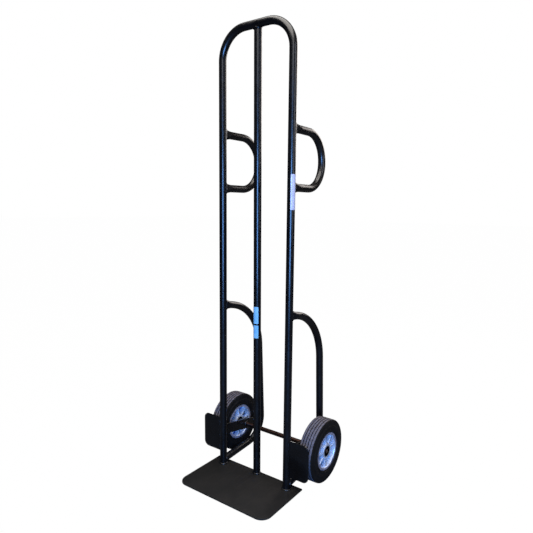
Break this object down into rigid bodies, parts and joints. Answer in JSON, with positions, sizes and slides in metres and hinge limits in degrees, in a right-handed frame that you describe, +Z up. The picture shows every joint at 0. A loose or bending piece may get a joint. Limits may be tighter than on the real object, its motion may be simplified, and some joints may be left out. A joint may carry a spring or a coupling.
{
  "type": "hand truck",
  "caption": "Tall upright two-wheel hand truck with a bent tube frame, centre tube, flat toe plate, D handles, wheel frames and solid rubber tyres on ribbed hubs.",
  "frame": {"origin": "on the floor under the toe plate, midway between the two rails, on the line through their centres", "axes": "+Z up along the rails; +X along the axle, towards the right wheel as seen from the toe plate side; -Y towards the front of the toe plate, +Y towards the handles and wheels"},
  "size_m": [0.458, 0.4205, 1.5243],
  "materials": {
    "frame_paint": "semi-gloss black powder coat",
    "plate_coat": "fine-textured matt black powder coat",
    "zinc_steel": "zinc plated",
    "dark_steel": "oiled dark steel wire",
    "bearing_steel": "ground bearing steel",
    "cast_hub": "bright die-cast aluminium",
    "tyre": "matt solid rubber",
    "blue_label": "plain blue film label",
    "white_label": "plain white film label"
  },
  "bodies": {
    "frame": {"main_frame_tube": "frame_paint", "center_tube": "frame_paint", "toe_plate": "plate_coat", "axle": "frame_paint", "front_label_lower": "blue_label", "front_label_upper": "blue_label", "side_label": "white_label", "left_upper_handle": "frame_paint", "left_wheel_frame": "frame_paint", "left_axle_bracket": "frame_paint", "left_wheel_guard": "frame_paint", "left_axle_sleeve": "zinc_steel", "left_axle_washer": "zinc_steel", "left_cotter_pin": "dark_steel", "left_bearing_inner_races": "bearing_steel", "left_bearing_spacer": "zinc_steel", "right_upper_handle": "frame_paint", "right_wheel_frame": "frame_paint", "right_axle_bracket": "frame_paint", "right_wheel_guard": "frame_paint", "right_axle_sleeve": "zinc_steel", "right_axle_washer": "zinc_steel", "right_cotter_pin": "dark_steel", "right_bearing_inner_races": "bearing_steel", "right_bearing_spacer": "zinc_steel"},
    "left_wheel": {"left_tyre": "tyre", "left_hub_outer_half": "cast_hub", "left_hub_inner_half": "cast_hub", "left_hub_bolts": "zinc_steel", "left_hub_nuts": "zinc_steel", "left_bearing_outer_races": "bearing_steel"},
    "right_wheel": {"right_tyre": "tyre", "right_hub_outer_half": "cast_hub", "right_hub_inner_half": "cast_hub", "right_hub_bolts": "zinc_steel", "right_hub_nuts": "zinc_steel", "right_bearing_outer_races": "bearing_steel"},
    "left_ball_set": {"left_bearing_balls": "bearing_steel"},
    "right_ball_set": {"right_bearing_balls": "bearing_steel"}
  },
  "joints": [
    {"name": "left_wheel_spin", "type": "hinge", "parent": "frame", "child": "left_wheel", "pos_m": [-0.1963, 0.128, 0.1085], "axis": [1, 0, 0], "continuous": true},
    {"name": "right_wheel_spin", "type": "hinge", "parent": "frame", "child": "right_wheel", "pos_m": [0.1963, 0.128, 0.1085], "axis": [1, 0, 0], "continuous": true},
    {"name": "left_ball_roll", "type": "hinge", "parent": "frame", "child": "left_ball_set", "pos_m": [-0.1963, 0.128, 0.1085], "axis": [1, 0, 0], "continuous": true},
    {"name": "right_ball_roll", "type": "hinge", "parent": "frame", "child": "right_ball_set", "pos_m": [0.1963, 0.128, 0.1085], "axis": [1, 0, 0], "continuous": true}
  ],
  "couplings": [
    {"joint": "left_ball_roll", "follows": "left_wheel_spin", "ratio": 0.6075},
    {"joint": "right_ball_roll", "follows": "right_wheel_spin", "ratio": 0.6075}
  ]
}
